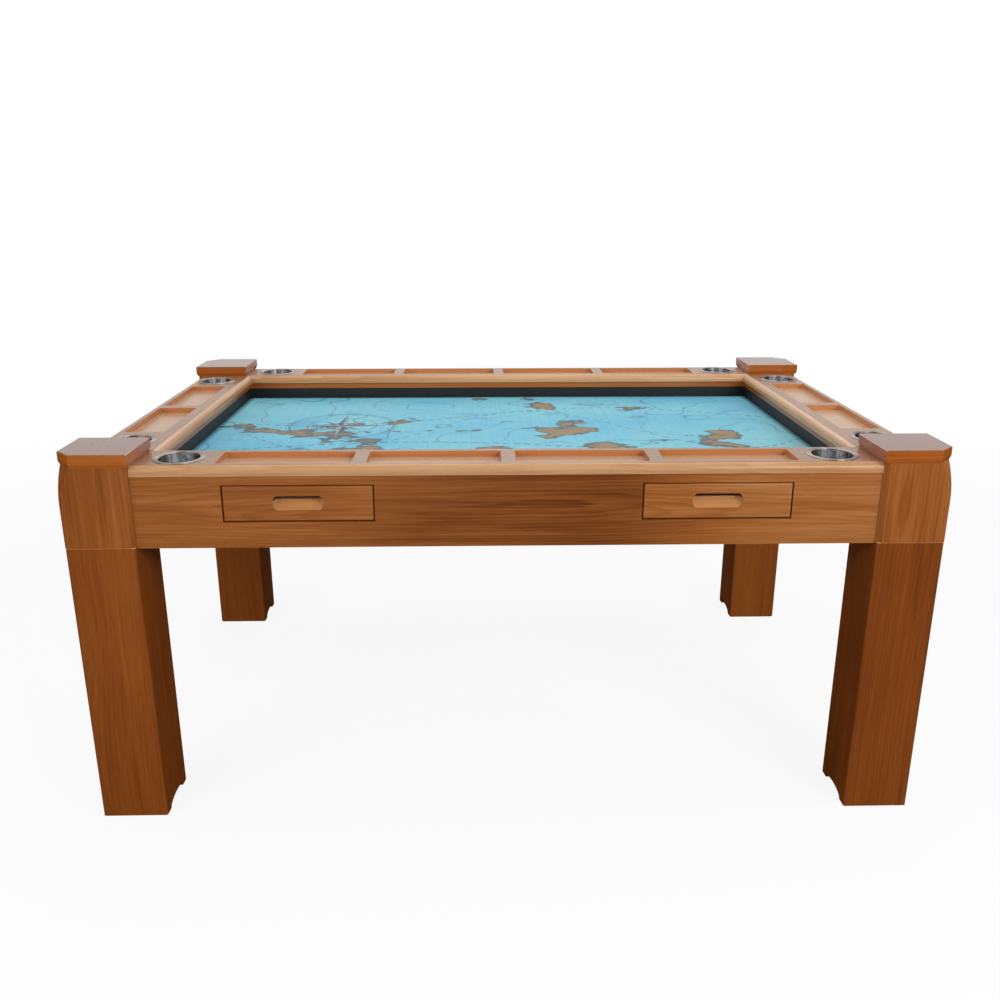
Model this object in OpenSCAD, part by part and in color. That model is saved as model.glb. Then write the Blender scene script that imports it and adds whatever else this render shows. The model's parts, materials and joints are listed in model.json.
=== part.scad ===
// Gaming table: four square legs, four corner blocks with caps, a railed frame with
// routed trays and drop-in cups around a sunken play field, and two shallow drawers.
// X runs along the table, Y from the drawer side to the far side, Z up from the floor.

/* [Table] */
// Length over the outer faces of the legs
table_l = 1704; // [1500:1:2000]
// Width over the outer faces of the legs
table_w = 1104; // [1000:1:1300]
// Height of the rail tops above the floor
rail_top = 762; // [720:1:800]

/* [Legs] */
// Side of the square legs and corner blocks
leg_side = 134; // [126:1:138]
// Radius along the legs' upright edges
leg_round = 4; // [4:1:12]
// Width of the relief arch under each leg
arch_w = 84; // [60:1:92]
// Height of the relief arch
arch_h = 14; // [8:1:24]
// Thickness of the felt strips under the legs
felt_t = 2.5; // [2:0.5:5]

/* [Corner blocks and caps] */
// Height of the corner blocks
block_h = 160; // [150:1:180]
// Width of the chamfer on a block's outer corner, at the top
corner_chamfer = 30; // [16:1:40]
// Width of the same chamfer at the foot of the block
corner_chamfer_foot = 2; // [1:0.5:6]
// Height over which that chamfer curves out to its full width
chamfer_run = 75; // [50:1:100]
// Width of the chamfer beside each apron
apron_side_chamfer = 9; // [6:1:14]
// Chamfer round each leg's top, which makes a fine groove under its block
groove = 2.5; // [1:0.5:3]
// Thickness of the caps
cap_t = 26; // [24:1:36]
// Overhang of the caps past the blocks
cap_over = 3; // [1:0.5:6]
// Height of the bevel under a cap's edge
cap_bevel_h = 8; // [4:1:12]
// Easing along a cap's top edge
cap_ease = 1.5; // [0.5:0.5:3]

/* [Frame] */
// Thickness of the aprons
apron_t = 20; // [18:1:24]
// Setback of the aprons from the blocks' outer faces
apron_set = 10; // [7:0.5:13]
// How far the aprons hang below the feet of the blocks
apron_drop = 4; // [0:0.5:6]
// Thickness of the rail boards
rail_t = 20; // [20:1:24]
// How far the rail boards stand proud of the aprons
rail_proud = 1.5; // [0:0.5:3]
// Width of the front and back rails
rail_w_long = 133.5; // [130:0.5:140]
// Width of the left and right rails
rail_w_side = 143.5; // [132:0.5:150]
// Radius along the rails' outer top edge
nose_out = 13; // [6:1:14]
// Radius along the rails' inner top edge
nose_in = 15; // [6:1:16]
// Thickness of the core boards under the rails
core_t = 16; // [12:1:20]
// How far the core boards' inner faces stand back from the rails'
core_set = 8; // [1:0.5:10]

/* [Trays] */
// Width of the routed trays
tray_w = 86; // [60:1:88]
// Depth of the routed trays
tray_depth = 12; // [8:1:16]
// Corner radius of the trays
tray_r = 5; // [3:1:12]
// Wood left between trays, cups and blocks
tray_gap = 28; // [20:1:40]

/* [Cups] */
// Outer diameter of a cup's body
cup_d = 82; // [76:1:84]
// Diameter of a cup's flange
flange_d = 101; // [96:1:104]
// Depth of a cup below the rail top
cup_depth = 55; // [45:1:60]
// Sheet thickness of the cups
cup_wall = 1; // [0.8:0.1:1.5]

/* [Play field] */
// Depth of the mat below the rail top
vault_depth = 63; // [62:1:70]
// Thickness of the mat
mat_t = 2; // [1.5:0.5:4]
// Thickness of the board under the mat
board_t = 10; // [9:1:12]
// Thickness of the black walls under the core boards
wall_t = 6; // [4:1:9]

/* [Drawers] */
// Distance from each front corner block to the drawer front beside it
drawer_inset = 171.5; // [150:0.5:200]
// Width of a drawer front
drawer_w = 286.5; // [240:0.5:310]
// Height of a drawer front
drawer_h = 69.5; // [60:0.5:74]
// Height of the drawer fronts' lower edge above the aprons' lower edge
drawer_rise = 54; // [46:1:58]
// Gap round a drawer front
reveal = 2.5; // [1:0.5:4.5]
// Length of the drawer boxes behind their fronts
box_length = 270; // [200:5:350]
// Thickness of the drawer box sides and backs
box_t = 10; // [9:0.5:14]
// Thickness of the drawer bottoms
box_bottom_t = 4; // [3:0.5:6]
// Length of a finger pull
pull_l = 98; // [80:1:120]

/* [Hidden] */
$fn = 64;
// Overshoot of a cutting shape past the face it cuts
over = 1;
// Thickness of the slices that a blended block is stretched between
slice = 0.01;
// Running gap between parts that slip past each other
slip = 1;

// Heights
joint_z = rail_top - block_h;
rail_z = rail_top - rail_t;
core_z = rail_z - core_t;
mat_z = rail_top - vault_depth;
board_top = mat_z - mat_t;
board_z = board_top - board_t;

// Inner faces of the corner blocks, from the middle of the table
block_x = table_l / 2 - leg_side;
block_y = table_w / 2 - leg_side;
// Outer faces of the aprons and of the rails
apron_x = table_l / 2 - apron_set;
apron_y = table_w / 2 - apron_set;
rail_x = apron_x + rail_proud;
rail_y = apron_y + rail_proud;
// Inner faces of the aprons
apron_in_x = apron_x - apron_t;
apron_in_y = apron_y - apron_t;
apron_z = joint_z - apron_drop;
apron_h = rail_z - apron_z;
// Inner faces of the rails, round the play field
vault_x = rail_x - rail_w_side;
vault_y = rail_y - rail_w_long;
// Inner faces of the core boards and of the walls under them
well_x = vault_x + core_set;
well_y = vault_y + core_set;

// Tenons that join the aprons to the blocks
tenon_t = apron_t / 2;
tenon_l = 25;
tenon_shoulder = 10;
tenon_h = rail_z - joint_z - 2 * tenon_shoulder;
tenon_slip = 0.3;

// Cups sit in plain bores, as close to the apron as their bore allows
cup_slip = 0.75;
cup_bore_r = cup_d / 2 + cup_slip;
bore_land = 0.75;
row_in = rail_proud + apron_t + cup_bore_r + bore_land;
flange_t = 1.2;
cup_corner_r = 6;

// Screws through the core boards into the rails
screw_d = 4.5;
screw_head_d = 8.5;
screw_head_h = 3;
screw_bite = 4;
screw_slip = 0.1;

// Gap between the mat and the walls round it
mat_slip = 0.5;

// Bearers under the board, either side of each drawer, and the side ledgers
bearer_t = 20;
bearer_h = 45;
bearer_house = 8;
bearer_room = 10;
ledger = 18;

// Drawer boxes and their L-shaped runners
drawer_x = block_x - drawer_inset - drawer_w / 2;
front_z = apron_z + drawer_rise;
open_w = drawer_w + 2 * reveal;
box_in = 5;
box_w = drawer_w - 2 * box_in;
box_lift = 3;
box_z = front_z + box_lift;
box_h = board_z - box_lift - box_z;
box_groove = 4;
tongue = 8;
bearer_off = open_w / 2 + bearer_room;
runner_slip = 0.3;
runner_foot = 6;
front_ease = 3;

// Bolts that hold each leg to its corner block
bolt_d = 12;
bolt_l = 160;
bolt_head_h = 7.5;
bolt_head_w = 19;
bolt_slip = 0.3;
washer_d = 30;
washer_t = 2.5;
pocket_d = washer_d + 2;
pocket_depth = 60;
insert_d = 20;
insert_l = 50;
insert_room = 15;

// Dowels between block and cap
dowel_d = 10;
dowel_in_block = 22;
dowel_in_cap = 18;
dowel_slip = 0.1;
dowel_off = 35;

// Puts a shape drawn at an outer corner, growing inwards along +X and +Y, at one table corner
module at_corner(sx, sy) {
  translate([sx * table_l / 2, sy * table_w / 2, 0])
    mirror([sx > 0 ? 1 : 0, 0, 0]) mirror([0, sy > 0 ? 1 : 0, 0]) children();
}

// Puts a shape drawn at a corner at all four
module at_corners() {
  for (sx = [-1, 1], sy = [-1, 1]) at_corner(sx, sy) children();
}

// Rectangle with round corners, centred
module round_rect(l, w, r) {
  square([l - 2 * r, w], center = true);
  square([l, w - 2 * r], center = true);
  for (sx = [-1, 1], sy = [-1, 1]) translate([sx * (l / 2 - r), sy * (w / 2 - r)]) circle(r);
}

// ---- legs ----

// Half ellipse that stands on the floor line, as an outline
function half_ellipse(w, h, steps = 24) =
  [for (i = [0 : steps]) [w / 2 * cos(180 * i / steps), h * sin(180 * i / steps)]];

module leg_plan(inset) {
  translate([leg_side / 2, leg_side / 2])
    round_rect(leg_side - 2 * inset, leg_side - 2 * inset, leg_round - inset);
}

module leg(sx, sy) {
  color("#8a4f24") at_corner(sx, sy) difference() {
    union() {
      translate([0, 0, felt_t]) linear_extrude(joint_z - groove - felt_t) leg_plan(0);
      hull() {
        translate([0, 0, joint_z - groove - slice]) linear_extrude(slice) leg_plan(0, $fn = 32);
        translate([0, 0, joint_z - slice]) linear_extrude(slice) leg_plan(groove, $fn = 32);
      }
    }
    // relief arch, cut through along X
    translate([-over, leg_side / 2, felt_t]) rotate([90, 0, 90])
      linear_extrude(leg_side + 2 * over) polygon(half_ellipse(arch_w, arch_h));
    // bore for the threaded insert, with room for the bolt's tip below it
    translate([leg_side / 2, leg_side / 2, joint_z - insert_l - insert_room])
      cylinder(d = insert_d + 2 * bolt_slip, h = insert_l + insert_room + over);
  }
}

// Felt strips on the two pads that the arch leaves under each leg
module foot_felts() {
  pad = (leg_side - arch_w) / 2;
  margin = 3;
  color("#241c18") at_corners() for (y = [0, leg_side - pad])
    translate([margin, y + margin, 0]) cube([leg_side - 2 * margin, pad - 2 * margin, felt_t]);
}

// ---- corner blocks ----

// Plan of a block, with a chamfer beside each apron
function block_plan() =
  let (s = leg_side, a = apron_side_chamfer, b = apron_set - rail_proud)
  [[0, 0], [s - a, 0], [s, b], [s, s], [b, s], [0, s - a]];

// Cut down a block's outer corner: a narrow chamfer that curves out to its full width at the
// top. It is drawn across the corner, with the distance in from the corner along X.
module corner_cut() {
  foot = corner_chamfer_foot / sqrt(2);
  top = corner_chamfer / sqrt(2);
  r = (chamfer_run ^ 2 + (top - foot) ^ 2) / (2 * (top - foot));
  rotate([90, 0, 45]) linear_extrude(leg_side, center = true) difference() {
    translate([-over, joint_z - over]) square([top + 2 * over, block_h + 2 * over]);
    translate([foot, joint_z - 2 * over]) square([top + over, block_h - chamfer_run + 2 * over]);
    translate([foot + r, rail_top - chamfer_run]) circle(r);
  }
}

module block(sx, sy) {
  mid = leg_side / 2;
  color("#96582a") at_corner(sx, sy) difference() {
    translate([0, 0, joint_z]) linear_extrude(block_h) polygon(block_plan());
    corner_cut();
    // mortises for the two aprons
    translate([leg_side - tenon_l - tenon_slip, apron_set + (apron_t - tenon_t) / 2 - tenon_slip / 2, 0])
      tenon_shape(tenon_l + tenon_slip + over, tenon_slip);
    translate([apron_set + (apron_t - tenon_t) / 2 - tenon_slip / 2, leg_side - tenon_l - tenon_slip, 0])
      mirror([1, -1, 0]) tenon_shape(tenon_l + tenon_slip + over, tenon_slip);
    // bolt hole and the pocket for its head
    translate([mid, mid, joint_z - over]) cylinder(d = bolt_d + 2 * bolt_slip, h = block_h);
    translate([mid, mid, rail_top - pocket_depth]) cylinder(d = pocket_d, h = pocket_depth + over);
    translate([0, 0, rail_top - dowel_in_block - over]) dowel_holes(dowel_in_block + 2 * over);
  }
}

// A tenon that runs along X, grown by the slip where it is a mortise
module tenon_shape(l, slip) {
  translate([0, 0, joint_z + tenon_shoulder - slip / 2])
    cube([l, tenon_t + slip, tenon_h + slip]);
}

module dowel_places() {
  for (s = [-1, 1]) translate([leg_side / 2 + s * dowel_off, leg_side / 2 - s * dowel_off, 0]) children();
}

module dowel_holes(depth) {
  dowel_places() cylinder(d = dowel_d + 2 * dowel_slip, h = depth);
}

module cap_dowels() {
  color("#c89a66") at_corners() translate([0, 0, rail_top - dowel_in_block])
    dowel_places() cylinder(d = dowel_d, h = dowel_in_block + dowel_in_cap);
}

// ---- caps ----

// Plan of a cap, moved out by a distance from the block's own outline
function cap_plan(out) =
  let (lo = -out, hi = leg_side + out, cut = corner_chamfer + out * (2 - sqrt(2)))
  [[lo + cut, lo], [hi, lo], [hi, hi], [lo, hi], [lo, lo + cut]];

module cap_slice(z, out) {
  translate([0, 0, z]) linear_extrude(slice) polygon(cap_plan(out));
}

module cap(sx, sy) {
  cap_top = rail_top + cap_t;
  color("#a35a22") at_corner(sx, sy) difference() {
    hull() {
      cap_slice(rail_top, 0);
      cap_slice(rail_top + cap_bevel_h, cap_over);
      cap_slice(cap_top - cap_ease, cap_over);
      cap_slice(cap_top - slice, cap_over - cap_ease);
    }
    translate([0, 0, rail_top - over]) dowel_holes(dowel_in_cap + 2 * over);
  }
}

// ---- leg fixings ----

module at_bolts(z) {
  at_corners() translate([leg_side / 2, leg_side / 2, z]) children();
}

module leg_bolts() {
  seat = rail_top - pocket_depth + washer_t;
  color("silver") at_bolts(seat) {
    cylinder(d = bolt_head_w / cos(30), h = bolt_head_h, $fn = 6);
    translate([0, 0, -bolt_l]) cylinder(d = bolt_d, h = bolt_l);
  }
}

module leg_washers() {
  color("silver") at_bolts(rail_top - pocket_depth) difference() {
    cylinder(d = washer_d, h = washer_t);
    translate([0, 0, -over]) cylinder(d = bolt_d + 2 * bolt_slip, h = washer_t + 2 * over);
  }
}

module leg_inserts() {
  color("goldenrod") at_bolts(joint_z - insert_l) difference() {
    cylinder(d = insert_d, h = insert_l);
    translate([0, 0, -over]) cylinder(d = bolt_d + 2 * bolt_slip, h = insert_l + 2 * over);
  }
}

// ---- aprons, drawn as the front one with its outer face at Y = -face ----

module apron(half, face) {
  translate([-half, -face, apron_z]) cube([2 * half, apron_t, apron_h]);
  for (m = [0, 1]) mirror([m, 0, 0])
    translate([half, -face + (apron_t - tenon_t) / 2, 0]) tenon_shape(tenon_l, 0);
}

// Places of the bearers' centre lines along X
bearer_xs = [for (s = [-1, 1], e = [-1, 1]) s * (drawer_x + e * (bearer_off + bearer_t / 2))];

module bearer_solid(slip) {
  for (x = bearer_xs)
    translate([x - bearer_t / 2 - slip, -apron_in_y - bearer_house, board_z - bearer_h - slip])
      cube([bearer_t + 2 * slip, 2 * (apron_in_y + bearer_house), bearer_h + 2 * slip]);
}

module apron_front() {
  color("#9c5f2f") difference() {
    apron(block_x, apron_y);
    for (s = [-1, 1])
      translate([s * drawer_x - open_w / 2, -apron_y - over, front_z - reveal])
        cube([open_w, apron_t + 2 * over, drawer_h + 2 * reveal]);
    bearer_solid(0);
  }
}

module apron_back() {
  color("#9c5f2f") difference() {
    mirror([0, 1, 0]) apron(block_x, apron_y);
    bearer_solid(0);
  }
}

// ---- rails, drawn as the front one with its outer face at Y = -face ----

// Cross-section of a rail board: outer face at 0, both top edges rounded
module nosed_board(w) {
  intersection() {
    square([w, rail_t]);
    union() {
      translate([nose_out, 0]) square([w - nose_out - nose_in, rail_t]);
      square([w / 2, rail_t - nose_out]);
      translate([w / 2, 0]) square([w / 2, rail_t - nose_in]);
      translate([nose_out, rail_t - nose_out]) circle(nose_out);
      translate([w - nose_in, rail_t - nose_in]) circle(nose_in);
    }
  }
}

// Distance from the table's middle to a rail's row of trays and cups
function row_d(face) = face - row_in;
// Distance along a rail from its middle to its cups
function cup_s(half) = half - tray_gap - flange_d / 2;
// Length of each tray where a rail has n of them between its cups
function tray_l(half, n) = (2 * (cup_s(half) - flange_d / 2 - tray_gap) - (n - 1) * tray_gap) / n;
// Middle of tray i of n
function tray_s(half, n, i) = (i - (n - 1) / 2) * (tray_l(half, n) + tray_gap);
// Screws stand in the wood beside the cups and between the trays
function screw_s(half, n) = concat([-half + tray_gap / 2],
  [for (i = [1 : n - 1]) (i - n / 2) * (tray_l(half, n) + tray_gap)], [half - tray_gap / 2]);

module cup_bores(half, face, z, h) {
  for (s = [-1, 1]) translate([s * cup_s(half), -row_d(face), z]) cylinder(r = cup_bore_r, h = h);
}

module at_screws(half, face, n) {
  for (s = screw_s(half, n)) translate([s, -row_d(face), core_z]) children();
}

// Cut that mitres the inner corners: half is the board's half length, inner its inner face,
// and corner the same face of the boards that it meets
module mitre_cut(half, inner, corner, m) {
  for (k = [0, 1]) mirror([k, 0, 0]) translate([0, 0, core_z - over])
    linear_extrude(rail_t + core_t + 2 * over)
      polygon([[corner - over, -inner + over], [corner + m, -inner - m],
               [half + over, -inner - m], [half + over, -inner + over]]);
}
mitre = min(block_x - vault_x, block_y - vault_y);

module rail(half, face, w, corner, n) {
  inner = face - w;
  color("#b0703c") difference() {
    translate([-half, -face, rail_z]) rotate([90, 0, 90]) linear_extrude(2 * half) nosed_board(w);
    for (i = [0 : n - 1])
      translate([tray_s(half, n, i), -row_d(face), rail_top - tray_depth])
        linear_extrude(tray_depth + over) round_rect(tray_l(half, n), tray_w, tray_r);
    cup_bores(half, face, rail_z - over, rail_t + 2 * over);
    mitre_cut(half, inner, corner, mitre);
    at_screws(half, face, n)
      cylinder(d = screw_d + 2 * screw_slip, h = core_t + screw_bite + 2 * over);
  }
}

module core(half, face, inner, corner, n) {
  back = face - rail_proud - apron_t;
  color("#8c5124") difference() {
    translate([-half, -back, core_z]) cube([2 * half, back - inner, core_t]);
    cup_bores(half, face, core_z - over, core_t + 2 * over);
    if (mitre > core_set) mitre_cut(half, inner, corner, mitre - core_set);
    at_screws(half, face, n) {
      translate([0, 0, -over]) cylinder(d = screw_d + 2 * screw_slip, h = core_t + 2 * over);
      translate([0, 0, -over]) cylinder(d = screw_head_d + 2 * screw_slip, h = screw_head_h + over);
    }
  }
}

module screws(half, face, n) {
  at_screws(half, face, n) {
    cylinder(d = screw_head_d, h = screw_head_h);
    cylinder(d = screw_d, h = core_t + screw_bite);
  }
}

module long_side(back) { rotate([0, 0, back ? 180 : 0]) children(); }
module short_side(right) { rotate([0, 0, right ? 90 : -90]) children(); }

module rail_long(back) { long_side(back) rail(block_x, rail_y, rail_w_long, vault_x, 4); }
module rail_short(right) { short_side(right) rail(block_y, rail_x, rail_w_side, vault_y, 2); }
module core_long(back) { long_side(back) core(block_x, rail_y, well_y, well_x, 4); }
module core_short(right) { short_side(right) core(block_y, rail_x, well_x, well_y, 2); }
module apron_short(right) { short_side(right) color("#94582a") apron(block_y, apron_x); }

module rail_screws() {
  color("silver") for (m = [0, 1]) {
    long_side(m == 1) screws(block_x, rail_y, 4);
    short_side(m == 1) screws(block_y, rail_x, 2);
  }
}

// ---- play field ----

// Slab about the middle, its corners notched round the corner blocks where it reaches them
module field_slab(hx, hy, z, h) {
  notch = leg_side + slip + over;
  difference() {
    translate([-hx, -hy, z]) cube([2 * hx, 2 * hy, h]);
    at_corners() translate([-over, -over, z - over]) cube([notch, notch, h + 2 * over]);
  }
}

module play_board() {
  color("#c9a26b") field_slab(apron_in_x - slip, apron_in_y - slip, board_z, board_t);
}
module play_mat() {
  color("#6fb2bd") field_slab(well_x - mat_slip, well_y - mat_slip, board_top, mat_t);
}

// Black wall that stands on the play board under a core board, with its face at Y = -inner
module wall(half, inner) {
  color("#17181a") translate([-half, -inner - wall_t, board_top])
    cube([2 * half, wall_t, core_z - board_top]);
}

module wall_long(back) { long_side(back) wall(block_x, well_y); }
module wall_short(right) { short_side(right) wall(min(well_y, block_y), well_x); }

module board_bearers() { color("#b98a55") bearer_solid(0); }

module board_ledgers() {
  color("#b98a55") for (right = [false, true]) short_side(right)
    translate([-block_y + slip, -apron_in_x, board_z - ledger])
      cube([2 * (block_y - slip), ledger, ledger]);
}

// ---- drawers, drawn about X = 0 with the front's outer face at Y = -apron_y ----

// Finger pull: a round-ended slot whose floor slopes in and up to a hook behind its upper lip.
// Its two ends are given as distance in from the front's face and height above its middle.
pull_r = 10;
pull_back = 3;
pull_hook = [apron_t - pull_back - pull_r, 8];
pull_lip = [-5, -5.7];
pull_run = norm(pull_hook - pull_lip);
pull_lean = atan2(pull_hook[0] - pull_lip[0], pull_hook[1] - pull_lip[1]);

module pull_scoop() {
  half = pull_l / 2 - pull_r;
  translate([0, pull_lip[0], pull_lip[1]]) rotate([-pull_lean, 0, 0]) {
    rotate([90, 0, 90]) linear_extrude(2 * half, center = true) {
      circle(pull_r);
      translate([0, pull_run]) circle(pull_r);
      translate([-pull_r, 0]) square([2 * pull_r, pull_run]);
    }
    for (s = [-1, 1]) translate([s * half, 0, 0]) {
      cylinder(r = pull_r, h = pull_run);
      sphere(pull_r);
      translate([0, 0, pull_run]) sphere(pull_r);
    }
  }
}

// Outline across a drawer front: outer face at 0, both of its edges rounded over
module eased_board(w) {
  translate([-w / 2, front_ease]) square([w, apron_t - front_ease]);
  translate([-w / 2 + front_ease, 0]) square([w - 2 * front_ease, apron_t]);
  for (s = [-1, 1]) translate([s * (w / 2 - front_ease), front_ease]) circle(front_ease);
}

module drawer_front() {
  difference() {
    translate([0, -apron_y, front_z + drawer_h / 2]) difference() {
      intersection() {
        linear_extrude(drawer_h, center = true) eased_board(drawer_w);
        rotate([0, 90, 0]) linear_extrude(drawer_w, center = true) eased_board(drawer_h);
      }
      pull_scoop();
    }
    // housings for the box sides' tongues
    for (s = [-1, 1]) translate([s * (box_w - box_t) / 2, -apron_in_y, box_z + box_h / 2])
      cube([box_t, 2 * tongue, box_h], center = true);
    drawer_panel(box_groove);
  }
}

module drawer_side(s) {
  difference() {
    translate([s * (box_w - box_t) / 2 - box_t / 2, -apron_in_y - tongue, box_z])
      cube([box_t, box_length + tongue, box_h]);
    drawer_panel(0);
  }
}

module drawer_back() {
  translate([-box_w / 2 + box_t, -apron_in_y + box_length - box_t, box_z + box_lift + box_bottom_t])
    cube([box_w - 2 * box_t, box_t, box_h - box_lift - box_bottom_t]);
}

// The bottom panel, let into grooves in the sides and the front
module drawer_panel(front) {
  w = box_w - 2 * box_t + 2 * box_groove;
  translate([-w / 2, -apron_in_y - box_groove, box_z + box_lift])
    cube([w, box_length + box_groove, box_bottom_t]);
}

module in_drawer(s, tone) { color(tone) translate([s * drawer_x, 0, 0]) children(); }

module drawer_runners() {
  wide = bearer_off - box_w / 2;
  color("#b98a55") for (s = [-1, 1]) translate([s * drawer_x, -apron_in_y, 0])
    for (m = [0, 1]) mirror([m, 0, 0]) {
      translate([box_w / 2 + slip, 0, box_z - runner_slip - runner_foot])
        cube([wide - slip, box_length, runner_foot + runner_slip + box_h]);
      translate([box_w / 2 - box_t, 0, box_z - runner_slip - runner_foot])
        cube([box_t + wide, box_length, runner_foot]);
    }
}

// ---- cups, about their own axis with the flange's underside at Z = 0 ----

// Points of an arc from angle a to b
function arc(cx, cy, r, a, b, steps = 8) =
  [for (i = [0 : steps]) let (t = a + (b - a) * i / steps) [cx + r * cos(t), cy + r * sin(t)]];

module cup_shell() {
  ro = cup_d / 2;
  ri = ro - cup_wall;
  rc = cup_corner_r;
  rf = flange_d / 2;
  lip = flange_t;
  rotate_extrude($fn = 96) polygon(concat(
    [[0, -cup_depth], [ro - rc, -cup_depth]],
    arc(ro - rc, -cup_depth + rc, rc, -90, 0),
    [[ro, 0], [rf, 0]],
    arc(rf - lip, 0, lip, 0, 90, 4),
    arc(ri + lip, 0, lip, 90, 180, 4),
    arc(ro - rc, -cup_depth + rc, rc - cup_wall, 0, -90),
    [[0, -cup_depth + cup_wall]]));
}

module cup_at(x, y) { color("#c4c6c8") translate([x, y, rail_top]) cup_shell(); }

module cup_long(sx, sy) { cup_at(sx * cup_s(block_x), sy * row_d(rail_y)); }
module cup_short(sx, sy) { cup_at(sx * row_d(rail_x), sy * cup_s(block_y)); }

leg(-1, -1);  // leg_front_left
leg(1, -1);  // leg_front_right
leg(-1, 1);  // leg_back_left
leg(1, 1);  // leg_back_right
block(-1, -1);  // block_front_left
block(1, -1);  // block_front_right
block(-1, 1);  // block_back_left
block(1, 1);  // block_back_right
cap(-1, -1);  // cap_front_left
cap(1, -1);  // cap_front_right
cap(-1, 1);  // cap_back_left
cap(1, 1);  // cap_back_right
apron_front();
apron_back();
apron_short(false);  // apron_left
apron_short(true);  // apron_right
rail_long(false);  // rail_front
rail_long(true);  // rail_back
rail_short(false);  // rail_left
rail_short(true);  // rail_right
core_long(false);  // core_front
core_long(true);  // core_back
core_short(false);  // core_left
core_short(true);  // core_right
wall_long(false);  // wall_front
wall_long(true);  // wall_back
wall_short(false);  // wall_left
wall_short(true);  // wall_right
play_board();
play_mat();
board_bearers();
board_ledgers();
leg_bolts();
leg_washers();
leg_inserts();
cap_dowels();
rail_screws();
foot_felts();
drawer_runners();
in_drawer(-1, "#985a2a") drawer_front();  // drawer_left_front
in_drawer(-1, "#c39a68") drawer_side(-1);  // drawer_left_outer_side
in_drawer(-1, "#c39a68") drawer_side(1);  // drawer_left_inner_side
in_drawer(-1, "#c39a68") drawer_back();  // drawer_left_back
in_drawer(-1, "#d2b07c") drawer_panel(0);  // drawer_left_bottom
in_drawer(1, "#985a2a") drawer_front();  // drawer_right_front
in_drawer(1, "#c39a68") drawer_side(1);  // drawer_right_outer_side
in_drawer(1, "#c39a68") drawer_side(-1);  // drawer_right_inner_side
in_drawer(1, "#c39a68") drawer_back();  // drawer_right_back
in_drawer(1, "#d2b07c") drawer_panel(0);  // drawer_right_bottom
cup_long(-1, -1);  // cup_front_left
cup_long(1, -1);  // cup_front_right
cup_long(-1, 1);  // cup_back_left
cup_long(1, 1);  // cup_back_right
cup_short(-1, -1);  // cup_left_front
cup_short(-1, 1);  // cup_left_back
cup_short(1, -1);  // cup_right_front
cup_short(1, 1);  // cup_right_back
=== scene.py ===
"""Looks of a gaming table: lacquered cherry boards, steel cups and a printed chart mat."""
import json
import math

import bpy
import numpy as np
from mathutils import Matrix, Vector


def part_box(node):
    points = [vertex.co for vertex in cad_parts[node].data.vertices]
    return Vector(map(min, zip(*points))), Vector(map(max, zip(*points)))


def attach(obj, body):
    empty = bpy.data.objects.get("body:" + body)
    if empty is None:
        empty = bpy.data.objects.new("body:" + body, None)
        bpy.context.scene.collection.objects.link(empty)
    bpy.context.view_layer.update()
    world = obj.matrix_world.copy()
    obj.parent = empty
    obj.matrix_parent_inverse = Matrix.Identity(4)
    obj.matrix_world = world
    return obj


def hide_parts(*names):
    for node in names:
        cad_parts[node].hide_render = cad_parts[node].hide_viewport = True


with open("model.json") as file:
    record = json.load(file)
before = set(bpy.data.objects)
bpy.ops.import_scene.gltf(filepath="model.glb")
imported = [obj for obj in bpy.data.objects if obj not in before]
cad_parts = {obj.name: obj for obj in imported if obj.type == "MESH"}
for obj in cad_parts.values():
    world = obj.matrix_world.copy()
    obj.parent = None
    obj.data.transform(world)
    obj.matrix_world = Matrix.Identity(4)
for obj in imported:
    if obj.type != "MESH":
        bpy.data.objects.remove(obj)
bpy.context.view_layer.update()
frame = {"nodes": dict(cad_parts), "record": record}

NODES = frame["nodes"]
OPENINGS = {opening["name"]: opening["box_m"] for opening in frame["record"]["physics"]["openings"]}
CORNERS = ("front_left", "front_right", "back_left", "back_right")
SIDES = ("front", "back", "left", "right")
CUPS = CORNERS + ("left_front", "left_back", "right_front", "right_back")


# ---- camera and lamps ----

def add_camera():
    """The eye stands before the drawer side, a little left of the middle and above the rails."""
    data = bpy.data.cameras.new("camera")
    data.lens = 34.385
    data.sensor_width = 36
    camera = bpy.data.objects.new("camera", data)
    camera.location = (-0.0553, -2.2879, 1.2449)
    camera.rotation_euler = (math.radians(72.42), 0, math.radians(-1.25))
    bpy.context.collection.objects.link(camera)
    bpy.context.scene.camera = camera


def add_softbox(name, place, target, width, height, power):
    """A rectangular lamp of that width and height in metres, turned to face target."""
    data = bpy.data.lights.new(name, "AREA")
    data.shape = "RECTANGLE"
    data.size = width
    data.size_y = height
    data.energy = power
    lamp = bpy.data.objects.new(name, data)
    lamp.location = place
    towards = np.array(target) - np.array(place)
    pitch = math.atan2(math.hypot(towards[0], towards[1]), -towards[2])
    lamp.rotation_euler = (pitch, 0, math.atan2(-towards[0], towards[1]))
    bpy.context.collection.objects.link(lamp)


# ---- shader maths ----

class Value:
    """A shader socket that stands in a sum: each operator adds the Math node that works it out."""

    def __init__(self, finish, socket):
        self.finish = finish
        self.socket = socket

    def math(self, operation, *others):
        return self.finish.math(operation, self, *others)

    def __add__(self, other):
        return self.math("ADD", other)

    def __sub__(self, other):
        return self.math("SUBTRACT", other)

    def __rsub__(self, other):
        return self.finish.math("SUBTRACT", other, self)

    def __mul__(self, other):
        return self.math("MULTIPLY", other)

    def __truediv__(self, other):
        return self.math("DIVIDE", other)

    def __rtruediv__(self, other):
        return self.finish.math("DIVIDE", other, self)

    def __pow__(self, other):
        return self.math("POWER", other)

    def __gt__(self, other):
        return self.math("GREATER_THAN", other)

    def __lt__(self, other):
        return self.math("LESS_THAN", other)

    __radd__ = __add__
    __rmul__ = __mul__

    def abs(self):
        return self.math("ABSOLUTE")

    def clamp(self):
        return self.math("MINIMUM", 1).math("MAXIMUM", 0)


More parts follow.
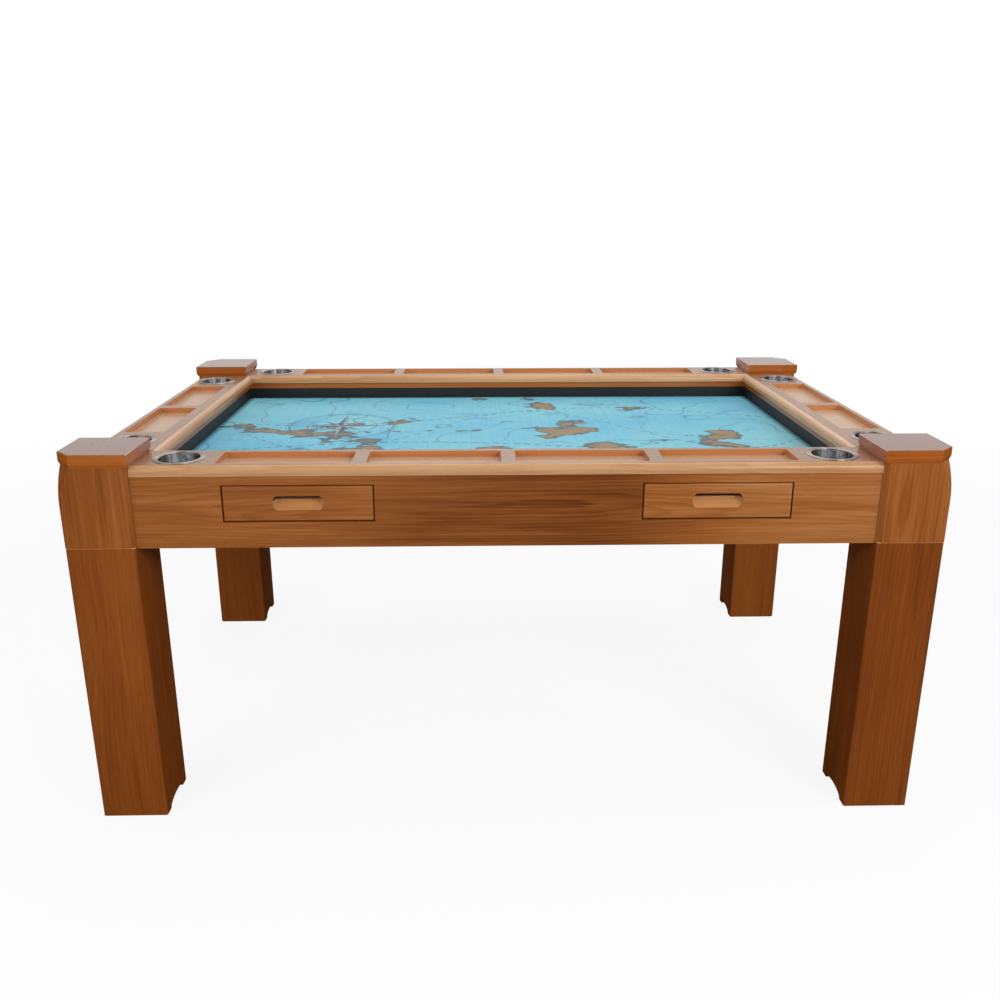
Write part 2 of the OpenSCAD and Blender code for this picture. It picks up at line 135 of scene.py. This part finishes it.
class Finish:
    """A material under construction, with a short name for each kind of node that it uses."""

    def __init__(self, name, tree=None):
        if tree is None:
            self.material = bpy.data.materials.new(name)
            self.material.use_nodes = True
            tree = self.material.node_tree
        self.tree = tree
        self.tree.nodes.clear()

    def node(self, kind, settings=None, sockets=None, out=0):
        """Adds a node: its settings first, then the values or links of its sockets."""
        made = self.tree.nodes.new("ShaderNode" + kind)
        for name, value in (settings or {}).items():
            if name == "stops":
                self.set_stops(made.color_ramp, value)
            else:
                setattr(made, name, value)
        for name, value in (sockets or {}).items():
            if isinstance(value, Value):
                self.tree.links.new(value.socket, made.inputs[name])
            else:
                made.inputs[name].default_value = value
        return Value(self, made.outputs[out]) if made.outputs else None

    @staticmethod
    def set_stops(ramp, stops):
        while len(ramp.elements) < len(stops):
            ramp.elements.new(1)
        for element, (place, colour) in zip(ramp.elements, stops):
            element.position = place
            element.color = (*colour, 1)

    def math(self, operation, *terms):
        return self.node("Math", {"operation": operation}, dict(enumerate(terms)))

    def point(self):
        """The three object coordinates, in metres. Every piece has its origin at the table's."""
        place = self.node("TexCoord", out="Object")
        return [self.node("SeparateXYZ", None, {0: place}, out=i) for i in range(3)]

    def vector(self, x, y, z):
        return self.node("CombineXYZ", None, {0: x, 1: y, 2: z})

    def noise(self, place, detail, roughness=0.5, distortion=0):
        sockets = {"Vector": place, "Scale": 1, "Detail": detail, "Roughness": roughness,
                   "Distortion": distortion}
        return self.node("TexNoise", None, sockets)

    def ramp(self, value, stops):
        return self.node("ValToRGB", {"stops": stops}, {0: value})

    def mix(self, factor, a, b):
        """Mixes two colours; 0, 6 and 7 are the Mix node's sockets for a colour, and 2 its result."""
        a, b = ((*c, 1) if isinstance(c, tuple) else c for c in (a, b))
        return self.node("Mix", {"data_type": "RGBA"}, {0: factor, 6: a, 7: b}, out=2)

    def step(self, value, low, high):
        """0 below low, 1 above high and a smooth rise between them."""
        sockets = {"Value": value, "From Min": low, "From Max": high}
        return self.node("MapRange", {"interpolation_type": "SMOOTHSTEP"}, sockets)

    def bump(self, height, distance, strength):
        return self.node("Bump", None, {"Height": height, "Distance": distance, "Strength": strength})

    def surface(self, **sockets):
        """Ends the material in a Principled shader; underscores stand for spaces in socket names."""
        named = {}
        for name, value in sockets.items():
            named[name.replace("_", " ")] = (*value, 1) if isinstance(value, tuple) else value
        shader = self.node("BsdfPrincipled", None, named)
        self.node("OutputMaterial", None, {"Surface": shader})
        return self.material


def srgb(red, green, blue):
    """A colour given on the 0 to 255 scale of a paint chart, as linear light."""
    levels = [c / 255 for c in (red, green, blue)]
    return tuple(c / 12.92 if c <= 0.04045 else ((c + 0.055) / 1.055) ** 2.4 for c in levels)


# ---- stage ----

def add_stage():
    """A plain pale floor in a white room, black flags, and lamps at the front, sides, top and back."""
    bpy.context.scene.view_settings.view_transform = "Standard"
    half = 14
    add_panel("floor", (-half, -half, 0), (2 * half, 0, 0), (0, 2 * half, 0), floor_finish())
    add_flags()
    add_room()
    lamps = (
        ("key", (1.9, -3.0, 2.2), (0.2, -0.3, 0.6), 1.6, 1.4, 62),
        ("fill", (-2.4, -2.9, 1.9), (-0.1, -0.3, 0.6), 1.4, 1.4, 28),
        ("left", (-3.0, -1.6, 1.6), (-0.8, -0.4, 0.7), 0.9, 1.0, 15),
        ("right", (3.0, -1.6, 1.6), (0.8, -0.4, 0.7), 0.9, 1.0, 15),
        ("top", (0, 0.3, 3.0), (0, 0, 0.7), 2.6, 1.8, 33),
        ("back", (0, 3.4, 2.7), (0, 0.3, 0.6), 2.0, 1.0, 13),
        ("low", (-0.9, -3.6, 0.7), (-0.2, 0.4, 0.35), 1.4, 0.8, 9),
    )
    for lamp in lamps:
        add_softbox(*lamp)


def add_panel(name, start, along, up, material):
    """A flat stage panel from one corner and its two edges."""
    corner, edge, rise = (np.array(v, float) for v in (start, along, up))
    mesh = bpy.data.meshes.new(name)
    mesh.from_pydata([corner, corner + edge, corner + edge + rise, corner + rise], [], [(0, 1, 2, 3)])
    mesh.materials.append(material)
    panel = bpy.data.objects.new(name, mesh)
    bpy.context.collection.objects.link(panel)
    return panel


def add_flags():
    """Black card on the floor, before the table, at its sides and overhead.

    Only mirroring rays see it, so it darkens what the polish shows and takes no light away.
    """
    finish = Finish("black_card")
    card = finish.node("BsdfDiffuse", None, {"Color": (0.01, 0.01, 0.01, 1)})
    finish.node("OutputMaterial", None, {"Surface": card})
    # In metres: how far to the side, to the front and up the flags stand
    side, front, high = 3.2, -4.2, 2.8
    # How far the floor, side and roof flags reach back from the front one
    floor_reach, wing_reach, roof_reach = 9.4, 5.4, 4.4
    over_floor = 0.001
    flags = {
        "flag_floor": ((-2 * side, front, over_floor), (4 * side, 0, 0), (0, floor_reach, 0)),
        "flag_front": ((-side, front, 0), (2 * side, 0, 0), (0, 0, high)),
        "flag_left": ((-side, front, 0), (0, wing_reach, 0), (0, 0, high)),
        "flag_right": ((side, front, 0), (0, wing_reach, 0), (0, 0, high)),
        "flag_roof": ((-side, front, high), (2 * side, 0, 0), (0, roof_reach, 0)),
    }
    for name, (start, along, up) in flags.items():
        panel = add_panel(name, start, along, up, finish.material)
        for ray in ("camera", "diffuse", "transmission", "shadow", "volume_scatter"):
            setattr(panel, "visible_" + ray, False)


def add_room():
    """The room round the stage: white where it is seen, and a fifth as bright as a light."""
    world = bpy.data.worlds.new("room")
    world.use_nodes = True
    bpy.context.scene.world = world
    room = Finish("room", world.node_tree)
    level = room.node("MapRange", None, {"Value": seen_plainly(room), "To Min": 0.2, "To Max": 1.0})
    light = room.node("Background", None, {"Color": room.vector(level, level, level), "Strength": 1.0})
    room.node("OutputWorld", None, {"Surface": light})


def seen_plainly(finish):
    """1 for camera, mirror and glass rays, which see the white room itself, and 0 for soft light."""
    camera, glossy, through = (finish.node("LightPath", out=f"Is {ray} Ray")
                               for ray in ("Camera", "Glossy", "Transmission"))
    return (camera + glossy + through).clamp()


def floor_finish():
    """Matt pale paper that keeps a faint shadow of the table, and is plain white far away."""
    finish = Finish("floor_paper")
    x, y = finish.point()[:2]
    seen = seen_plainly(finish)
    far = finish.step((x * x + y * y).math("SQRT"), 1.4, 4.0)
    tone = 0.3 + seen * 0.65
    paper = finish.node("BsdfDiffuse", None, {"Color": finish.vector(tone, tone, tone)})
    white = finish.node("Emission", None, {"Color": (1, 1, 1, 1), "Strength": 1.0})
    share = seen * (0.9 + far * 0.1)
    shown = finish.node("MixShader", None, {0: share, 1: paper, 2: white})
    finish.node("OutputMaterial", None, {"Surface": shown})
    return finish.material


# ---- wood ----

# Stains, each from its darkest tone to its palest
DEEP = (srgb(82, 36, 8), srgb(136, 70, 20), srgb(172, 98, 38))
WARM = (srgb(92, 42, 10), srgb(146, 80, 29), srgb(186, 120, 62))
PLANED = (srgb(92, 38, 6), srgb(160, 95, 41), srgb(202, 144, 92))
CAPPED = (srgb(108, 48, 10), srgb(166, 88, 30), srgb(198, 120, 52))
FAIR = (srgb(132, 86, 48), srgb(192, 142, 98), srgb(222, 180, 138))
BARE = (srgb(150, 112, 70), srgb(196, 158, 108), srgb(222, 190, 144))
BIRCH = (srgb(176, 140, 94), srgb(210, 178, 130), srgb(230, 204, 162))


def wood(name, along, stain, pith, ring, figure, gloss=0.3, lacquer=0.3,
         middle_darkening=0.0, painted_light_slope=(0.0, 0.0), parts=()):
    """Lacquered wood. Growth rings are circles about a pith line that runs along the board.

    along names the axis of the grain. pith is where the pith line lies across the grain: its
    height and its distance out from the table's middle, or for upright grain its distances out
    along X and Y. It is mirrored to the far side of the table. Its slow drift along the board
    opens the rings into arches on a face, as a flat-sawn board shows.
    ring is the distance between two rings, and figure how dark the rings are.
    heart is how much darker the board is at its middle. lean is painted light: how much paler the
    boards are painted to the right and to the back, for each metre, where more light falls on them.
    Each part is a function of the finish and the coordinates that gives a mask, and then a colour
    and the share of it that lies over the grain there.
    """
    finish = Finish(name)
    x, y, z = finish.point()
    u, v, w = {"x": (x, z, y), "y": (y, z, x), "z": (z, x, y)}[along]

    def grain(length, breadth, detail=2, roughness=0.5):
        """Noise that varies about length times a metre along the grain and breadth times across."""
        return finish.noise(finish.vector(u * length, v * breadth, w * breadth), detail, roughness)

    drift = grain(0.9, 1.1, 1)
    wave = grain(3.2, 9)
    dv = v.abs() - pith[0] + (wave - 0.5) * 0.012
    dw = w.abs() - pith[1] + (drift - 0.5) * 0.12
    reach = (dv * dv + dw * dw).math("SQRT")
    fibre = grain(7, 230, 3, 0.6)
    turn = (reach / ring + (fibre - 0.5) * 0.7).math("FRACT")
    late = turn ** 2.0 * (1 - finish.step(turn, 0.9, 1.0))
    fade = finish.step(grain(1.7, 7), 0.35, 0.7)
    broad = grain(1.3, 6, 2, 0.6)
    streak = grain(2.5, 75, 2, 0.6)
    tone = (0.58 + (broad - 0.5) * 0.6 + (streak - 0.5) * 0.45 + (fibre - 0.5) * 0.4
            - late * (fade * 0.7 + 0.3) * figure)
    # Darker towards the board's middle along the grain.
    if middle_darkening:
        tone = tone - (1 - finish.step((x - 0.02).abs(), 0.12, 0.46)) * middle_darkening
    # Painted light: the boards are painted paler to the right and to the back.
    tone = tone + x * painted_light_slope[0] + y * painted_light_slope[1]
    colour = finish.ramp(tone, [(0.0, stain[0]), (0.5, stain[1]), (1.0, stain[2])])
    pore = finish.step(grain(55, 900), 0.62, 0.72)
    colour = finish.mix(pore * 0.2, colour, stain[0])
    for mask, over, share in parts:
        colour = finish.mix(mask(finish, x, y, z) * share, colour, over)
    return finish.surface(
        Base_Color=colour, Roughness=gloss + (fibre - 0.5) * 0.16 + pore * 0.12,
        Specular_IOR_Level=0.25, Coat_Weight=lacquer, Coat_Roughness=0.16, Coat_IOR=1.5,
        Normal=finish.bump(fibre * 0.6 - pore - late * 0.3, 0.00025, 0.5))


def above(height):
    """A mask for the faces that lie at or over a height, such as a board's top."""
    return lambda finish, x, y, z: finish.step(z, height - 0.0006, height - 0.0002)


def joint_highlight(height):
    """A mask for the thin edge just under a joint, which takes a pale painted highlight."""
    width = 0.0014
    return lambda finish, x, y, z: (z > height - width) * (z < height)


def tray_mask(row, axis, floor, top):
    """A mask for what lies in the trays, between two heights and within a row's width."""
    half = 0.0458  # half a tray's width, and a little more

    def mask(finish, x, y, z):
        across = {"x": y, "y": x}[axis]
        return ((across.abs() - row).abs() < half) * (z > floor) * (z < top)
    return mask


def pull_painted_light():
    """The scoops of the drawer pulls: painted shade just under their lips, and a paler painted highlight
    on their floors below that.
    """
    low, high = OPENINGS["drawer_right_pull"]
    middle = (low[0] + high[0]) / 2
    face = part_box("drawer_right_front")[0].y
    half = 0.0505  # half a scoop's length, and a little more
    past = 0.012  # how far a scoop is taken to run past its stated opening, up and down
    shade = high[2] - 0.0105  # where the dark under the lip ends

    def scoop(finish, x, y, z, under, over):
        near = (x.abs() - middle).abs() < half
        return near * finish.step(y, face + 0.0006, face + 0.0016) * (z > under) * (z < over)

    # Painted shade just under the scoop's lip.
    def lip(finish, x, y, z):
        return scoop(finish, x, y, z, low[2], high[2] + past) * finish.step(z, shade, shade + 0.003)

    # A painted highlight: the scoop's floor is painted paler for the light it catches.
    def floor(finish, x, y, z):
        return scoop(finish, x, y, z, low[2] - past, shade)

    return [(floor, srgb(222, 160, 102), 0.5), (lip, srgb(26, 10, 5), 0.92)]


# ---- other finishes ----

def chart_print():
    """Printed cloth: a made-up sea chart with a square grid, shoals, islands, a star and routes."""
    finish = Finish("printed_chart")
    x, y = finish.point()[:2]
    wash = finish.noise(finish.vector(x * 2.3, y * 3.1, 0.2), 4, 0.6, 0.4)
    blot = finish.noise(finish.vector(x * 6, y * 8, 3.7), 4, 0.65, 0.8)
    water = finish.ramp(wash, [(0.28, srgb(82, 176, 214)), (0.45, srgb(110, 192, 216)),
                               (0.6, srgb(122, 199, 216)), (0.78, srgb(142, 205, 210))])
    water = finish.mix(finish.step(blot, 0.56, 0.7) * 0.55, water, srgb(70, 150, 196))

    square = 0.025
    lines = [((c / square).math("FRACT") - 0.5).abs() for c in (x, y)]
    grid = finish.step(lines[0].math("MAXIMUM", lines[1]), 0.462, 0.49)
    water = finish.mix(grid * 0.3, water, srgb(70, 130, 150))

    depth = finish.noise(finish.vector(x * 2.6 + 5, y * 3.4, 8.1), 2, 0.4)
    shoal = ((depth * 9).math("FRACT") - 0.5).abs()
    contour = finish.step(shoal, 0.465, 0.495)
    water = finish.mix(contour * 0.55, water, srgb(48, 98, 132))

    relief = finish.noise(finish.vector(x * 4.6 - 1.3, y * 6.2 + 2.2, 11.4), 5, 0.55)
    land = finish.step(relief, 0.622, 0.63)
    shore = finish.step(relief, 0.604, 0.612) - finish.step(relief, 0.634, 0.642)
    soil = finish.ramp(finish.noise(finish.vector(x * 30, y * 40, 0), 4, 0.6),
                       [(0.3, srgb(112, 104, 70)), (0.5, srgb(150, 126, 88)), (0.7, srgb(118, 72, 56))])
    printed = finish.mix(land, water, soil)
    printed = finish.mix(shore.clamp() * 0.8, printed, srgb(52, 62, 74))
    printed = add_star(finish, printed, x, y)
    printed = add_routes(finish, printed, x, y)

    weave = finish.noise(finish.vector(x * 1400, y * 1400, 0), 1)
    nap = finish.noise(finish.vector(x * 60, y * 60, 0), 3, 0.6)
    fluff = finish.ramp(nap, [(0.3, (0.02, 0.05, 0.06)), (0.7, (0.9, 0.95, 0.95))])
    printed = finish.mix(0.06, printed, fluff)
    return finish.surface(Base_Color=printed, Roughness=0.62 + (nap - 0.5) * 0.15,
                          Specular_IOR_Level=0.35, Normal=finish.bump(weave, 0.0002, 0.4))


def add_star(finish, ground, x, y):
    """An eight-pointed chart star in three rings; its points narrow as they run out."""
    middle_x, middle_y, radius = -0.40, 0.06, 0.13
    dx = x - middle_x
    dy = y - middle_y
    away = (dx * dx + dy * dy).math("SQRT") / radius
    angle = dy.math("ARCTAN2", dx)
    for turn, length in ((0.5, 0.62), (0.0, 0.9)):
        sector = (angle / (math.pi / 2) + turn).math("FRACT") - 0.5
        edge = sector.abs() * 2
        point = away - length / (1 + (1 - edge) * 5.5)
        inside = 1 - finish.step(point, -0.01, 0.01)
        ground = finish.mix(inside * 0.85, ground, srgb(40, 66, 96))
        ground = finish.mix(inside * (sector > 0) * 0.75, ground, srgb(150, 176, 176))
    for ring, width in ((0.66, 0.012), (1.0, 0.02), (1.06, 0.008)):
        line = 1 - finish.step((away - ring).abs(), width * 0.6, width)
        ground = finish.mix(line * 0.75, ground, srgb(44, 74, 104))
    return ground


def add_routes(finish, ground, x, y):
    """Dashed sailing routes: each follows a sine of x, broken into dashes along x."""
    routes = ((0.16, 4.3, 0.4, 0.10), (-0.20, 3.1, 2.2, 0.09), (0.02, 6.5, 1.1, 0.2))
    for middle, waves, phase, swing in routes:
        course = (x * waves + phase).math("SINE") * swing + middle
        near = 1 - finish.step((y - course).abs(), 0.0022, 0.0034)
        dash = (x * 42).math("FRACT") < 0.6
        ground = finish.mix(near * dash * 0.7, ground, srgb(58, 44, 58))
    return ground


def black_stain():
    """Boards stained black, with a dull sheen and faint grain."""
    finish = Finish("black_stain")
    x, y, z = finish.point()
    grain = finish.noise(finish.vector(x * 40, y * 40, z * 400), 3, 0.6)
    colour = finish.ramp(grain, [(0.3, srgb(7, 7, 8)), (0.7, srgb(16, 16, 18))])
    return finish.surface(Base_Color=colour, Roughness=0.6 + (grain - 0.5) * 0.2,
                          Normal=finish.bump(grain, 0.0003, 0.4))


def metal(name, tone, rough, spun=0.0, brim=None):
    """Bright metal with fine lines from its polishing and a few soft smears.

    spun is how strongly the lines, which run round the upright axis, draw its highlights upright.
    brim is a height, and over it the metal is duller, and its colour is painted darker and warmer, a
    painted reflection of the rails round it.
    """
    finish = Finish(name)
    x, y, z = finish.point()
    lines = finish.noise(finish.vector(x * 90, y * 90, z * 2600), 2)
    smear = finish.noise(finish.vector(x * 38, y * 38, z * 38), 3, 0.6)
    colour = finish.mix(smear, tuple(c * 0.9 for c in tone), tone)
    roughness = rough + (lines - 0.5) * 0.05 + finish.step(smear, 0.5, 0.75) * 0.05
    if brim:
        over = above(brim)(finish, x, y, z)
        # Painted reflection: over the brim the steel's colour is darkened and warmed toward the rails'
        # look.
        dull = tuple(c * kept for c, kept in zip(tone, (0.58, 0.44, 0.36)))
        colour = finish.mix(over * 0.8, colour, dull)
        roughness = roughness + over * 0.3
    return finish.surface(Base_Color=colour, Metallic=1.0, Roughness=roughness,
                          Anisotropic=spun, Anisotropic_Rotation=0.25,
                          Normal=finish.bump(lines, 0.00004, 0.3))


def felt():
    """Dense dark felt with short mixed fibres."""
    finish = Finish("felt")
    x, y, z = finish.point()
    fibres = finish.noise(finish.vector(x * 900, y * 700, z * 900), 4, 0.7, 1.5)
    colour = finish.ramp(fibres, [(0.3, srgb(26, 20, 18)), (0.7, srgb(58, 46, 42))])
    return finish.surface(Base_Color=colour, Roughness=0.95, Sheen_Weight=0.4,
                          Normal=finish.bump(fibres, 0.0006, 0.8))


# ---- carried-over boards ----

def dress(names, material):
    """Gives CAD nodes a material."""
    for name in names:
        materials = NODES[name].data.materials
        materials.clear()
        materials.append(material)


def dress_corners():
    """Legs, blocks and caps. The pith lines of legs and blocks stand just outside their wood."""
    low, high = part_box("leg_front_left")
    leg_x, leg_y = (-(low[i] + high[i]) / 2 for i in (0, 1))
    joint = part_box("block_front_left")[0].z
    cap_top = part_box("cap_front_left")[1].z
    # The legs take a pale painted highlight in a thin line just under their joint with the blocks.
    legs = wood("leg_wood", "z", DEEP, pith=(leg_x + 0.11, leg_y - 0.05), ring=0.006, figure=0.2,
                gloss=0.34, lacquer=0.12, painted_light_slope=(0.0, 0.16),
                parts=[(joint_highlight(joint), srgb(226, 168, 112), 0.8)])
    blocks = wood("block_wood", "z", WARM, pith=(leg_x - 0.02, leg_y + 0.12), ring=0.006,
                  figure=0.2, gloss=0.32, lacquer=0.14, painted_light_slope=(0.13, 0.0))
    # The caps' tops take painted shade: from cap_top up their colour is painted darker.
    caps = wood("cap_wood", "x", CAPPED, pith=(0.70, leg_y), ring=0.006, figure=0.2,
                gloss=0.22, lacquer=0.34, parts=[(above(cap_top), srgb(94, 56, 36), 0.78)])
    dress(["leg_" + c for c in CORNERS], legs)
    dress(["block_" + c for c in CORNERS], blocks)
    dress(["cap_" + c for c in CORNERS], caps)


def dress_sides():
    """Aprons, rails, core boards and drawer fronts, with the grain along each side of the table.

    Tray walls, tray floors and rail tops take painted light: the tray walls a saturated orange for the
    front light on them, the tray floors a pale painted sheen and the rail tops darker painted shade.
    out is about where the aprons' outer faces are, which the pith lines are set back from.
    """
    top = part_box("rail_front")[1].z
    for axis, sides, out in (("x", SIDES[:2], 0.541), ("y", SIDES[2:], 0.841)):
        low, high = OPENINGS[f"tray_{sides[0]}_1"]
        across = {"x": 1, "y": 0}[axis]
        row = abs(low[across] + high[across]) / 2
        # Painted light by height: orange on the tray walls, a pale painted sheen on the tray floors, and
        # painted shade on the rail tops.
        painted_light_zones = [(tray_mask(row, axis, low[2], top - 0.0008), srgb(192, 110, 52), 0.68),
                 (tray_mask(row, axis, 0, low[2]), srgb(192, 156, 126), 0.7),
                 (above(top), srgb(124, 84, 56), 0.72)]
        apron = wood("apron_wood_" + axis, axis, PLANED, pith=(0.68, out - 0.05), ring=0.005,
                     figure=0.24, gloss=0.32, lacquer=0.16,
                     middle_darkening=0.34 if axis == "x" else 0.0, painted_light_slope=(0.07, 0.0))
        rail = wood("rail_wood_" + axis, axis, FAIR, pith=(0.70, out - 0.06), ring=0.005,
                    figure=0.22, gloss=0.26, lacquer=0.09, painted_light_slope=(0.08, 0.0), parts=painted_light_zones)
        core = wood("core_wood_" + axis, axis, CAPPED, pith=(0.69, out - 0.07), ring=0.006,
                    figure=0.24)
        dress(["apron_" + s for s in sides], apron)
        dress(["rail_" + s for s in sides], rail)
        dress(["core_" + s for s in sides], core)
    front = wood("drawer_front_wood", "x", PLANED, pith=(0.66, 0.50), ring=0.005, figure=0.26,
                 lacquer=0.16, painted_light_slope=(0.2, 0.0), parts=pull_painted_light())
    dress(["drawer_left_front", "drawer_right_front"], front)


def dress_hidden():
    """Boards and fixings that are seen only from below or with a drawer open, and the black walls."""
    carcass = wood("carcass_wood", "y", BARE, pith=(0.66, 0.38), ring=0.005, figure=0.3,
                   gloss=0.5, lacquer=0.0)
    dowel = wood("dowel_wood", "z", BARE, pith=(0.7, 0.5), ring=0.005, figure=0.3,
                 gloss=0.5, lacquer=0.0)
    ply = wood("plywood", "x", BIRCH, pith=(0.6, 0.0), ring=0.012, figure=0.25,
               gloss=0.5, lacquer=0.0)
    drawers = [f"drawer_{s}_{p}" for s in ("left", "right") for p in ("outer_side", "inner_side", "back")]
    dress(drawers + ["board_bearers", "board_ledgers", "drawer_runners"], carcass)
    dress(["drawer_left_bottom", "drawer_right_bottom", "play_board"], ply)
    dress(["cap_dowels"], dowel)
    dress(["wall_" + s for s in SIDES], black_stain())
    dress(["leg_bolts", "leg_washers", "rail_screws"], metal("zinc_steel", (0.62, 0.63, 0.65), 0.32))
    dress(["leg_inserts"], metal("brass_insert", (0.72, 0.56, 0.26), 0.28))
    dress(["foot_felts"], felt())


def dress_cups():
    """The cups' flanges lie on the rails, so all that stands over the rails is their brims."""
    rail_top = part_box("rail_front")[1].z
    # Over the rails' top the cups' brims take a painted reflection of the wood.
    stainless = metal("stainless", (0.62, 0.63, 0.64), 0.2, spun=0.95, brim=rail_top)
    dress(["cup_" + c for c in CUPS], stainless)


# ---- new pieces ----

def grid_faces(rows, columns):
    """Four-sided faces that join neighbours on a grid of points numbered row by row."""
    corner = np.arange(rows - 1)[:, None] * columns + np.arange(columns - 1)
    return np.stack([corner, corner + 1, corner + columns + 1, corner + columns], -1).reshape(-1, 4)


def lay_mat():
    """The mat: a thin sheet whose top rises and falls by a slow sum of two sines."""
    rows, columns = 58, 96
    wave = 0.00012
    sunk = 0.0003  # keeps the waves' tops under the solid mat's face
    low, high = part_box("play_mat")
    x, y = np.meshgrid(np.linspace(low.x, high.x, columns), np.linspace(low.y, high.y, rows))
    ripple = wave * (np.sin(5.1 * x + 2 * y) + np.sin(3.3 * y - 7.7 * x + 1))
    points = np.stack([x, y, high.z - sunk + ripple], -1).reshape(-1, 3)
    mesh = bpy.data.meshes.new("chart_mat")
    mesh.from_pydata(points, [], grid_faces(rows, columns).tolist())
    mesh.materials.append(chart_print())
    mesh.polygons.foreach_set("use_smooth", [True] * len(mesh.polygons))
    mat = bpy.data.objects.new("chart_mat", mesh)
    bpy.context.collection.objects.link(mat)
    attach(mat, "table")
    thick = mat.modifiers.new("thickness", "SOLIDIFY")
    thick.thickness = 0.0016
    thick.offset = -1
    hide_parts("play_mat")


def main():
    add_camera()
    add_stage()
    dress_corners()
    dress_sides()
    dress_hidden()
    dress_cups()
    lay_mat()


main()
